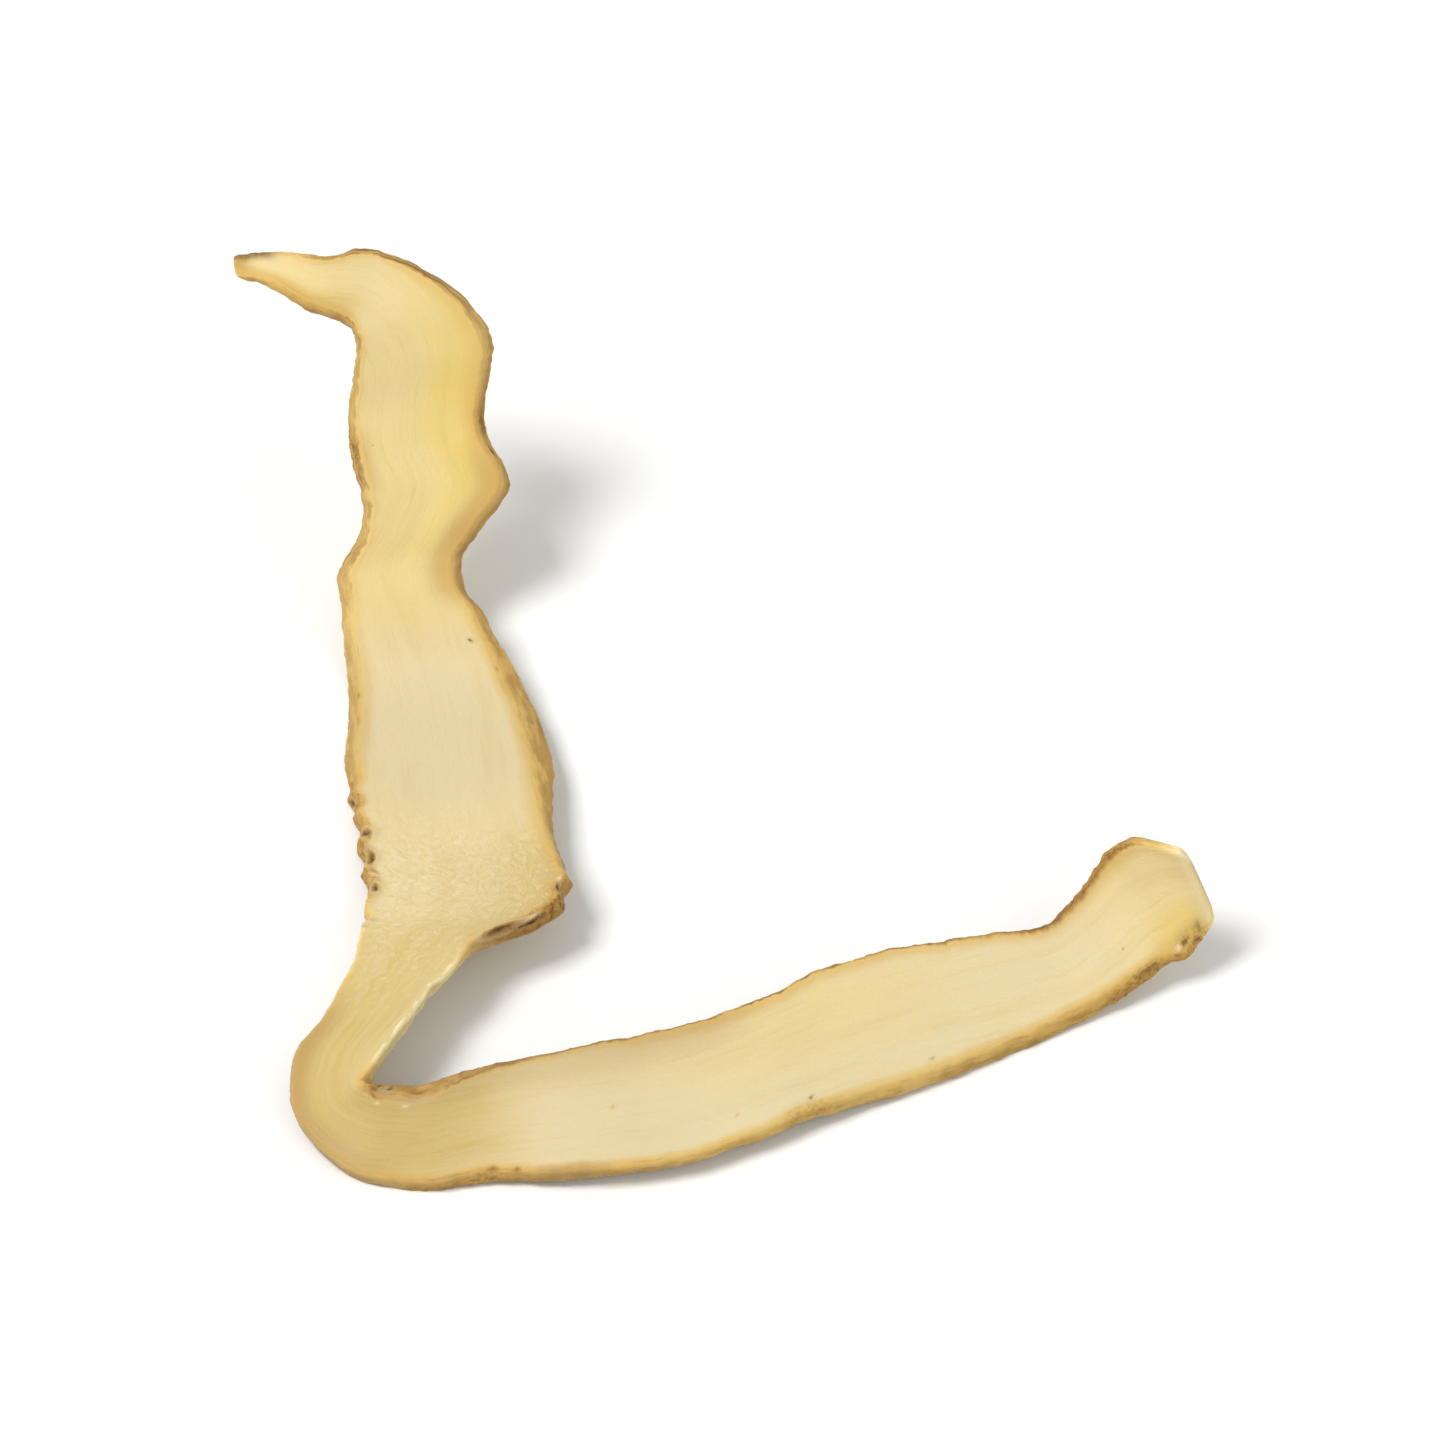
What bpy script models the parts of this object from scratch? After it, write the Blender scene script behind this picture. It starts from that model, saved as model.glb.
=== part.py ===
"""A dried slice of a polygonatum rhizome, lying on a surface. Metres, +Z up.

The rhizome was cut lengthwise into thin slices. This one starts at a dark-tipped stub, turns at
an elbow into an upper arm that curls clear of the surface, and comes down through a waist and a
wide node to a sharp bend, where the second arm leaves for a flared end. It is one solid: two cut
faces, with the rhizome's skin all round between them.
"""

import math
from collections import namedtuple

import bmesh
import bpy
from mathutils import Vector, noise

MM = 0.001

# Driving dimensions of the slice's section
THICKNESS = 1.35 * MM
STUB_THICKNESS = 1.0 * MM
CUT_END_THICKNESS = 0.7 * MM
TAPER_LENGTH = 8.0 * MM
CUP_DEPTH = 0.3 * MM
FACE_RELIEF = 0.12 * MM
FACE_RELIEF_SPACING = 6.0 * MM

# Wrinkles of the skin, as the edge moves in and out along the slice
EDGE_WAVE = 0.22 * MM
EDGE_WAVE_SPACING = 4.5 * MM

# The slice lies on three low spots, each pressed flat by this depth
PRESSED_DEPTH = 0.24 * MM

# Fineness of the mesh
RING_SPACING = 1.05 * MM
FACE_POINTS = 5

# The skin, from the upper cut face down to the lower one: how far each point stands in from the
# edge, and its height over the middle as a share of the thickness
SKIN_PROFILE = (
    (0.30 * MM, 0.50),
    (0.08 * MM, 0.38),
    (-0.04 * MM, 0.06),
    (-0.12 * MM, -0.28),
    (0.06 * MM, -0.50),
    (0.55 * MM, -0.50),
)

# Where the ends round off: distance past the last station, and the section's scale there
ROUNDED_END = ((0.28 * MM, 0.82), (0.42 * MM, 0.5))

# Stations along the slice, in millimetres. The outer edge is the left side of the upper arm, the
# outside of the bend and the front of the second arm, and the inner edge faces it across the slice.
STATIONS = (
    # place, outer edge, inner edge
    ("stub tip", (-31.0, 33.4, 18.2), (-31.2, 34.4, 19.1)),
    ("stub", (-29.0, 31.8, 18.7), (-28.7, 33.8, 19.6)),
    ("stub root", (-26.3, 30.3, 17.8), (-25.3, 32.9, 20.2)),
    ("shoulder", (-24.2, 29.8, 17.2), (-21.8, 33.1, 20.4)),
    ("elbow", (-23.4, 29.0, 16.2), (-17.8, 31.5, 19.3)),
    ("elbow corner", (-23.6, 28.0, 14.4), (-15.0, 29.7, 16.8)),
    ("upper arm", (-24.0, 26.5, 12.0), (-14.9, 28.2, 13.8)),
    ("dent", (-23.8, 24.6, 10.2), (-15.2, 26.4, 11.2)),
    ("side bump", (-23.1, 22.8, 8.6), (-13.8, 23.4, 8.7)),
    ("above waist", (-23.0, 21.7, 7.2), (-15.2, 21.4, 7.3)),
    ("waist", (-24.3, 20.0, 5.2), (-16.6, 19.8, 5.6)),
    ("below waist", (-24.5, 17.0, 2.6), (-15.2, 16.0, 4.2)),
    ("widening", (-24.0, 11.5, 0.8), (-12.5, 10.3, 3.2)),
    ("belly", (-24.0, 5.0, 0.7), (-10.6, 3.2, 3.1)),
    ("node top", (-22.7, -1.4, 1.1), (-10.5, -4.3, 3.5)),
    ("node", (-22.0, -7.4, 1.5), (-9.7, -10.0, 3.9)),
    ("node corner", (-22.1, -10.7, 1.9), (-11.0, -13.2, 4.1)),
    ("node end", (-22.3, -12.9, 2.1), (-14.3, -15.5, 4.3)),
    ("neck", (-22.8, -16.1, 2.3), (-16.3, -19.0, 4.6)),
    ("bend start", (-24.5, -20.3, 2.2), (-18.6, -22.9, 4.8)),
    ("bend left", (-26.4, -24.1, 1.7), (-20.3, -26.6, 5.0)),
    ("bend middle", (-25.8, -28.2, 1.1), (-21.2, -28.3, 4.9)),
    ("bend front", (-22.7, -31.9, 0.7), (-20.4, -28.2, 4.6)),
    ("bend end", (-18.5, -33.0, 0.6), (-18.0, -27.5, 4.3)),
    ("second arm", (-13.6, -32.7, 0.9), (-14.6, -26.1, 4.0)),
    ("arm 1", (-7.8, -33.0, 1.3), (-8.7, -24.3, 3.7)),
    ("arm 2", (-2.4, -32.1, 1.5), (-3.4, -22.7, 3.6)),
    ("arm 3", (3.3, -29.4, 1.5), (1.6, -20.5, 3.6)),
    ("arm 4", (8.8, -26.2, 1.2), (6.5, -17.4, 3.6)),
    ("arm 5", (14.4, -23.4, 0.8), (11.4, -15.2, 3.5)),
    ("arm 6", (19.9, -20.2, 0.6), (16.7, -13.9, 3.4)),
    ("flare start", (24.0, -17.7, 1.1), (20.9, -12.8, 3.6)),
    ("flare", (26.8, -15.9, 1.8), (23.0, -10.8, 4.8)),
    ("flare end", (28.7, -14.5, 2.5), (24.5, -9.8, 6.8)),
    ("cut corner", (30.2, -13.7, 3.1), (26.3, -10.4, 8.6)),
    ("cut end", (31.0, -12.6, 3.6), (28.8, -11.6, 9.0)),
)

# Root scars and knobs on the skin: edge, station, distance past it, half length and height, in
# millimetres
SKIN_KNOBS = (
    ("inner", "stub root", 1.5, 1.0, 0.25),
    ("inner", "side bump", 0.0, 1.2, 0.20),
    ("outer", "waist", 1.0, 1.0, 0.30),
    ("inner", "below waist", -1.5, 0.9, -0.30),
    ("outer", "belly", 3.5, 0.8, 0.35),
    ("outer", "belly", 6.0, 0.7, 0.35),
    ("outer", "node top", 2.0, 0.8, 0.40),
    ("outer", "node top", 4.5, 0.7, 0.30),
    ("outer", "node corner", 0.5, 0.7, -0.40),
    ("inner", "node", -0.5, 0.8, 0.35),
    ("inner", "node", 1.8, 0.7, 0.45),
    ("inner", "neck", 1.5, 0.8, -0.25),
    ("outer", "bend end", 0.5, 1.6, 0.25),
    ("outer", "arm 3", 1.8, 1.5, -0.35),
    ("inner", "arm 4", -1.0, 1.4, 0.20),
    ("outer", "flare end", 0.5, 0.9, 0.40),
)

# How far the skin slopes at places along each edge, in millimetres: the upper rim stands further in
# than the lower one, or the lower further in than the upper where the number is negative
SKIN_SLOPES = {
    "outer": (
        ("stub tip", 0.0), ("elbow corner", 0.1), ("above waist", 0.3), ("waist", 0.7),
        ("widening", 1.1), ("belly", 1.0), ("node top", 0.3), ("node corner", 0.0),
        ("neck", 0.2), ("bend left", 0.5), ("bend front", 0.3), ("second arm", 0.2),
        ("arm 1", -0.2), ("arm 2", -0.4), ("arm 4", 0.2), ("flare", 0.4), ("cut end", 0.0),
    ),
    "inner": (
        ("stub tip", 0.0), ("elbow", 0.1), ("elbow corner", 0.5), ("upper arm", 0.5),
        ("side bump", 0.4), ("waist", 0.3), ("below waist", 0.4), ("widening", 1.2), ("belly", 1.5),
        ("node top", 0.2), ("node", 0.0), ("node corner", -0.2), ("node end", -0.9),
        ("neck", -1.2), ("bend left", -1.1), ("bend middle", -0.3), ("bend front", 0.6),
        ("bend end", 1.0), ("second arm", 0.4), ("arm 1", 0.0), ("cut end", 0.0),
    ),
}

SKIN_SEED = {"outer": 3.7, "inner": 11.3}
CUT_FACE_COLOUR = (0.80, 0.66, 0.38, 1.0)
CUT_FACE_ROUGHNESS = 0.6
SHARP_EDGE_DEGREES = 50


# One section of the slice: its middle, directions, half width, thickness and the skin's slopes
Ring = namedtuple("Ring", "middle across normal along half_width thickness outer_slope inner_slope")


def clear_scene():
    for thing in list(bpy.data.objects):
        bpy.data.objects.remove(thing, do_unlink=True)


def cut_face_material():
    material = bpy.data.materials.new("dried_rhizome")
    material.use_nodes = True
    shader = material.node_tree.nodes["Principled BSDF"]
    shader.inputs["Base Color"].default_value = CUT_FACE_COLOUR
    shader.inputs["Roughness"].default_value = CUT_FACE_ROUGHNESS
    shader.inputs["Metallic"].default_value = 0.0
    return material


def station_edges():
    outer = [Vector(row[1]) * MM for row in STATIONS]
    inner = [Vector(row[2]) * MM for row in STATIONS]
    return outer, inner


def station_distances(outer, inner):
    """Distance of each station along the middle of the slice."""
    distances = [0.0]
    for here in range(1, len(outer)):
        step = (outer[here] + inner[here] - outer[here - 1] - inner[here - 1]) / 2
        distances.append(distances[-1] + step.length)
    return distances


def slope_at(points, distances, here):
    """Slope of the smooth curve at one of its points, from the chords on its two sides."""
    if here == 0 or here == len(points) - 1:
        start = min(here, len(points) - 2)
        return (points[start + 1] - points[start]) / (distances[start + 1] - distances[start])
    before = distances[here] - distances[here - 1]
    after = distances[here + 1] - distances[here]
    chord_before = (points[here] - points[here - 1]) / before
    chord_after = (points[here + 1] - points[here]) / after
    return (chord_before * after + chord_after * before) / (before + after)


def curve_point(points, distances, distance):
    """Point of the smooth curve through the points, at a distance along the slice."""
    left = 0
    while left < len(points) - 2 and distances[left + 1] < distance:
        left += 1
    span = distances[left + 1] - distances[left]
    t = (distance - distances[left]) / span
    bulge_start = slope_at(points, distances, left) * span
    bulge_end = slope_at(points, distances, left + 1) * span
    return (
        points[left] * (2 * t**3 - 3 * t**2 + 1)
        + bulge_start * (t**3 - 2 * t**2 + t)
        + points[left + 1] * (3 * t**2 - 2 * t**3)
        + bulge_end * (t**3 - t**2)
    )


def skin_offset(edge, distance, distances):
    """How far the skin's wrinkles and root scars move an edge outwards."""
    wave = noise.noise(Vector((distance / EDGE_WAVE_SPACING, SKIN_SEED[edge], 0.0)))
    offset = EDGE_WAVE * wave
    names = [row[0] for row in STATIONS]
    for knob_edge, station, past, half_length, height in SKIN_KNOBS:
        if knob_edge == edge:
            knob_distance = distances[names.index(station)] + past * MM
            away = (distance - knob_distance) / (half_length * MM)
            offset += height * MM * math.exp(-away * away)
    return offset


def thickness_at(distance, length):
    """The slice thins towards the stub's tip and towards the flared end."""
    from_tip = min(distance / TAPER_LENGTH, 1.0)
    from_end = min((length - distance) / TAPER_LENGTH, 1.0)
    thinned_tip = STUB_THICKNESS + (THICKNESS - STUB_THICKNESS) * from_tip
    thinned_end = CUT_END_THICKNESS + (THICKNESS - CUT_END_THICKNESS) * from_end
    return min(thinned_tip, thinned_end)


def skin_slope(edge, distance, distances):
    """Slope of the skin at a distance along the slice, from the places listed on both sides of it."""
    names = [row[0] for row in STATIONS]
    listed = [(distances[names.index(place)], slope * MM) for place, slope in SKIN_SLOPES[edge]]
    for (start, slope), (end, next_slope) in zip(listed, listed[1:]):
        if distance <= end:
            return slope + (next_slope - slope) * (distance - start) / (end - start)
    return listed[-1][1]


def skin_points(half_width, thickness, slope):
    """The skin on one side of the section, from the upper rim to the lower one."""
    points = []
    for inset, height in SKIN_PROFILE:
        sloped = max(slope, 0.0) * (0.5 + height) + max(-slope, 0.0) * (0.5 - height)
        points.append((half_width - inset - sloped, height * thickness))
    return points


def face_points(start, end):
    """Points between two rims of a cut face."""
    shares = [k / (FACE_POINTS + 1) for k in range(1, FACE_POINTS + 1)]
    return [(start[0] + (end[0] - start[0]) * share, start[1]) for share in shares]


def section_outline(ring, scale):
    """Closed outline of the section: across the slice, and up from its middle."""
    half_width = ring.half_width * scale
    thickness = ring.thickness * scale
    inner_skin = skin_points(half_width, thickness, ring.inner_slope * scale)
    outer_skin = [(-across, up) for across, up in
                  reversed(skin_points(half_width, thickness, ring.outer_slope * scale))]
    lower_face = face_points(inner_skin[-1], outer_skin[0])
    upper_face = face_points(outer_skin[-1], inner_skin[0])
    return inner_skin + lower_face + outer_skin + upper_face


def section_ring(ring, scale=1.0, past=0.0):
    """Points of one ring: the section, cupped, with the cut faces' low relief."""
    points = []
    for sideways, up in section_outline(ring, scale):
        cup = CUP_DEPTH * (sideways / (ring.half_width * scale)) ** 2
        point = ring.middle + ring.along * past + ring.across * sideways + ring.normal * (up + cup)
        relief = FACE_RELIEF * noise.noise(point / FACE_RELIEF_SPACING)
        points.append(point + ring.normal * relief)
    return points


def slice_rings():
    """All rings, from the stub's tip to the flared end."""
    outer, inner = station_edges()
    distances = station_distances(outer, inner)
    length = distances[-1]
    steps = round(length / RING_SPACING)
    rings = []
    for step in range(steps + 1):
        distance = length * step / steps
        outer_point = curve_point(outer, distances, distance)
        inner_point = curve_point(inner, distances, distance)
        across = (inner_point - outer_point).normalized()
        outer_point -= across * skin_offset("outer", distance, distances)
        inner_point += across * skin_offset("inner", distance, distances)
        outer_slope = slope_near(outer, distances, distance)
        inner_slope = slope_near(inner, distances, distance)
        along = (outer_slope + inner_slope).normalized()
        rings.append(Ring(
            middle=(outer_point + inner_point) / 2,
            across=across,
            normal=along.cross(across).normalized(),
            along=along,
            half_width=(inner_point - outer_point).length / 2,
            thickness=thickness_at(distance, length),
            outer_slope=skin_slope("outer", distance, distances),
            inner_slope=skin_slope("inner", distance, distances),
        ))
    return rings


def slope_near(points, distances, distance):
    """Direction of the smooth curve at a distance along the slice."""
    reach = 0.2 * MM
    low = max(distance - reach, 0.0)
    high = min(distance + reach, distances[-1])
    return curve_point(points, distances, high) - curve_point(points, distances, low)


def rounded_end_rings(ring, outwards):
    """Smaller rings past an end ring, which round the end off."""
    return [section_ring(ring, scale, reach * outwards) for reach, scale in ROUNDED_END]


def loft(rings):
    """Closed surface through the rings, with a fan over each end."""
    mesh = bmesh.new()
    loops = [[mesh.verts.new(point) for point in ring] for ring in rings]
    count = len(loops[0])
    for loop, following in zip(loops, loops[1:]):
        for k in range(count):
            after = (k + 1) % count
            mesh.faces.new((loop[k], loop[after], following[after], following[k]))
    for loop in (loops[0], loops[-1]):
        centre = mesh.verts.new(sum((vert.co for vert in loop), Vector()) / count)
        for k in range(count):
            mesh.faces.new((loop[k], loop[(k + 1) % count], centre))
    bmesh.ops.triangulate(mesh, faces=mesh.faces[:])
    bmesh.ops.recalc_face_normals(mesh, faces=mesh.faces[:])
    return mesh


def lay_down(mesh):
    """Centres the slice over the origin and presses its low spots flat at the surface."""
    low = Vector([min(vert.co[axis] for vert in mesh.verts) for axis in range(3)])
    high = Vector([max(vert.co[axis] for vert in mesh.verts) for axis in range(3)])
    centre = (low + high) / 2
    shift = Vector((-centre.x, -centre.y, -low.z - PRESSED_DEPTH))
    bmesh.ops.translate(mesh, verts=mesh.verts[:], vec=shift)
    for vert in mesh.verts:
        vert.co.z = max(vert.co.z, 0.0)


def build_slice(collection):
    rings = slice_rings()
    tip = rounded_end_rings(rings[0], -1)
    end = rounded_end_rings(rings[-1], 1)
    surface = loft(list(reversed(tip)) + [section_ring(ring) for ring in rings] + end)
    lay_down(surface)
    data = bpy.data.meshes.new("slice")
    surface.to_mesh(data)
    surface.free()
    data.materials.append(cut_face_material())
    data.shade_smooth()
    data.set_sharp_from_angle(angle=math.radians(SHARP_EDGE_DEGREES))
    collection.objects.link(bpy.data.objects.new("slice", data))


def main():
    clear_scene()
    collection = bpy.data.collections.new("polygonatum_rhizome")
    bpy.context.scene.collection.children.link(collection)
    build_slice(collection)


main()
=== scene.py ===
"""Looks of the dried polygonatum slice: the finished surface, the camera, the light and the floor.

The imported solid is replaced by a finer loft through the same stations, with the skin's wrinkles,
the root scars and the cut face's grain. Metres, +Z up.
"""

import math

import bpy
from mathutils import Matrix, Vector, noise


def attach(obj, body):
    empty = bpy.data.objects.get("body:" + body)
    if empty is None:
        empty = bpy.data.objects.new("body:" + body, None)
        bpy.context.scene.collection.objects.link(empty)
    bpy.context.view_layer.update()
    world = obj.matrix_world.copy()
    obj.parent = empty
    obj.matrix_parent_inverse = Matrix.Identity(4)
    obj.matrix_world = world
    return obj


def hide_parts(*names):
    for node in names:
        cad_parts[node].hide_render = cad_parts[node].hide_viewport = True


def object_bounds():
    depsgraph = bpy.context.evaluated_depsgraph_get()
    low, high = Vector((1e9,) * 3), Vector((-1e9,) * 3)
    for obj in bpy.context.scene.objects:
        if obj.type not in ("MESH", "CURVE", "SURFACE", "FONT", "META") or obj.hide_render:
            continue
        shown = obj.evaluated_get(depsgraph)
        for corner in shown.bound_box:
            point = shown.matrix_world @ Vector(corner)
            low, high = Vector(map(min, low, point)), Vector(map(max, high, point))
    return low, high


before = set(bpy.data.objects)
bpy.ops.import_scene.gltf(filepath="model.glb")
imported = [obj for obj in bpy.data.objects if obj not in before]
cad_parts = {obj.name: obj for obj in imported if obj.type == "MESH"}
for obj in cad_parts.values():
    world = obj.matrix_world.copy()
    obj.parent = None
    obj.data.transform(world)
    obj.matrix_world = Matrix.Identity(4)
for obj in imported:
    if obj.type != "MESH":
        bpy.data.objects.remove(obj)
CAD_LOW, CAD_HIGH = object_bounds()

MM = 0.001

# The section's dimensions, as in the solid
THICKNESS = 1.35 * MM
STUB_THICKNESS = 1.0 * MM
CUT_END_THICKNESS = 0.7 * MM
TAPER_LENGTH = 8.0 * MM
CUP_DEPTH = 0.3 * MM
FACE_RELIEF = 0.12 * MM
FACE_RELIEF_SPACING = 6.0 * MM
EDGE_WAVE = 0.22 * MM
EDGE_WAVE_SPACING = 4.5 * MM
PRESSED_DEPTH = 0.24 * MM
SKIN_SEED = {"outer": 3.7, "inner": 11.3}

# The skin from the upper cut face down to the lower one: inset from the edge, and height over the
# middle as a share of the thickness
SKIN_PROFILE = (
    (0.30 * MM, 0.50),
    (0.08 * MM, 0.38),
    (-0.04 * MM, 0.06),
    (-0.12 * MM, -0.28),
    (0.06 * MM, -0.50),
)
# Rings beyond each end: how far past it, and the scale of the section
ROUNDED_END = ((0.14 * MM, 0.94), (0.27 * MM, 0.82), (0.36 * MM, 0.62))

# Fineness of the loft, and how far to each side its slope is taken
RING_SPACING = 0.2 * MM
SKIN_POINTS = 13
UPPER_POINTS = 36
LOWER_POINTS = 24
SLOPE_REACH = 0.2 * MM

# Stations along the slice, in millimetres: place, outer edge, inner edge. They are the solid's own.
STATIONS = (
    ("stub tip", (-31.0, 33.4, 18.2), (-31.2, 34.4, 19.1)),
    ("stub", (-29.0, 31.8, 18.7), (-28.7, 33.8, 19.6)),
    ("stub root", (-26.3, 30.3, 17.8), (-25.3, 32.9, 20.2)),
    ("shoulder", (-24.2, 29.8, 17.2), (-21.8, 33.1, 20.4)),
    ("elbow", (-23.4, 29.0, 16.2), (-17.8, 31.5, 19.3)),
    ("elbow corner", (-23.6, 28.0, 14.4), (-15.0, 29.7, 16.8)),
    ("upper arm", (-24.0, 26.5, 12.0), (-14.9, 28.2, 13.8)),
    ("dent", (-23.8, 24.6, 10.2), (-15.2, 26.4, 11.2)),
    ("side bump", (-23.1, 22.8, 8.6), (-13.8, 23.4, 8.7)),
    ("above waist", (-23.0, 21.7, 7.2), (-15.2, 21.4, 7.3)),
    ("waist", (-24.3, 20.0, 5.2), (-16.6, 19.8, 5.6)),
    ("below waist", (-24.5, 17.0, 2.6), (-15.2, 16.0, 4.2)),
    ("widening", (-24.0, 11.5, 0.8), (-12.5, 10.3, 3.2)),
    ("belly", (-24.0, 5.0, 0.7), (-10.6, 3.2, 3.1)),
    ("node top", (-22.7, -1.4, 1.1), (-10.5, -4.3, 3.5)),
    ("node", (-22.0, -7.4, 1.5), (-9.7, -10.0, 3.9)),
    ("node corner", (-22.1, -10.7, 1.9), (-11.0, -13.2, 4.1)),
    ("node end", (-22.3, -12.9, 2.1), (-14.3, -15.5, 4.3)),
    ("neck", (-22.8, -16.1, 2.3), (-16.3, -19.0, 4.6)),
    ("bend start", (-24.5, -20.3, 2.2), (-18.6, -22.9, 4.8)),
    ("bend left", (-26.4, -24.1, 1.7), (-20.3, -26.6, 5.0)),
    ("bend middle", (-25.8, -28.2, 1.1), (-21.2, -28.3, 4.9)),
    ("bend front", (-22.7, -31.9, 0.7), (-20.4, -28.2, 4.6)),
    ("bend end", (-18.5, -33.0, 0.6), (-18.0, -27.5, 4.3)),
    ("second arm", (-13.6, -32.7, 0.9), (-14.6, -26.1, 4.0)),
    ("arm 1", (-7.8, -33.0, 1.3), (-8.7, -24.3, 3.7)),
    ("arm 2", (-2.4, -32.1, 1.5), (-3.4, -22.7, 3.6)),
    ("arm 3", (3.3, -29.4, 1.5), (1.6, -20.5, 3.6)),
    ("arm 4", (8.8, -26.2, 1.2), (6.5, -17.4, 3.6)),
    ("arm 5", (14.4, -23.4, 0.8), (11.4, -15.2, 3.5)),
    ("arm 6", (19.9, -20.2, 0.6), (16.7, -13.9, 3.4)),
    ("flare start", (24.0, -17.7, 1.1), (20.9, -12.8, 3.6)),
    ("flare", (26.8, -15.9, 1.8), (23.0, -10.8, 4.8)),
    ("flare end", (28.7, -14.5, 2.5), (24.5, -9.8, 6.8)),
    ("cut corner", (30.2, -13.7, 3.1), (26.3, -10.4, 8.6)),
    ("cut end", (31.0, -12.6, 3.6), (28.8, -11.6, 9.0)),
)
PLACES = [row[0] for row in STATIONS]

# Root scars and knobs on the skin, in millimetres: edge, station, distance past it, half length and
# height, as in the solid
SKIN_KNOBS = (
    ("inner", "stub root", 1.5, 1.0, 0.25),
    ("inner", "side bump", 0.0, 1.2, 0.20),
    ("outer", "waist", 1.0, 1.0, 0.30),
    ("inner", "below waist", -1.5, 0.9, -0.30),
    ("outer", "belly", 3.5, 0.8, 0.35),
    ("outer", "belly", 6.0, 0.7, 0.35),
    ("outer", "node top", 2.0, 0.8, 0.40),
    ("outer", "node top", 4.5, 0.7, 0.30),
    ("outer", "node corner", 0.5, 0.7, -0.40),
    ("inner", "node", -0.5, 0.8, 0.35),
    ("inner", "node", 1.8, 0.7, 0.45),
    ("inner", "neck", 1.5, 0.8, -0.25),
    ("outer", "bend end", 0.5, 1.6, 0.25),
    ("outer", "arm 3", 1.8, 1.5, -0.35),
    ("inner", "arm 4", -1.0, 1.4, 0.20),
    ("outer", "flare end", 0.5, 0.9, 0.40),
)

# How far the skin slopes at places along each edge, in millimetres, as in the solid
SKIN_SLOPES = {
    "outer": (
        ("stub tip", 0.0), ("elbow corner", 0.1), ("above waist", 0.3), ("waist", 0.7),
        ("widening", 1.1), ("belly", 1.0), ("node top", 0.3), ("node corner", 0.0),
        ("neck", 0.2), ("bend left", 0.5), ("bend front", 0.3), ("second arm", 0.2),
        ("arm 1", -0.2), ("arm 2", -0.4), ("arm 4", 0.2), ("flare", 0.4), ("cut end", 0.0),
    ),
    "inner": (
        ("stub tip", 0.0), ("elbow", 0.1), ("elbow corner", 0.5), ("upper arm", 0.5),
        ("side bump", 0.4), ("waist", 0.3), ("below waist", 0.4), ("widening", 1.2), ("belly", 1.5),
        ("node top", 0.2), ("node", 0.0), ("node corner", -0.2), ("node end", -0.9),
        ("neck", -1.2), ("bend left", -1.1), ("bend middle", -0.3), ("bend front", 0.6),
        ("bend end", 1.0), ("second arm", 0.4), ("arm 1", 0.0), ("cut end", 0.0),
    ),
}

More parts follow.
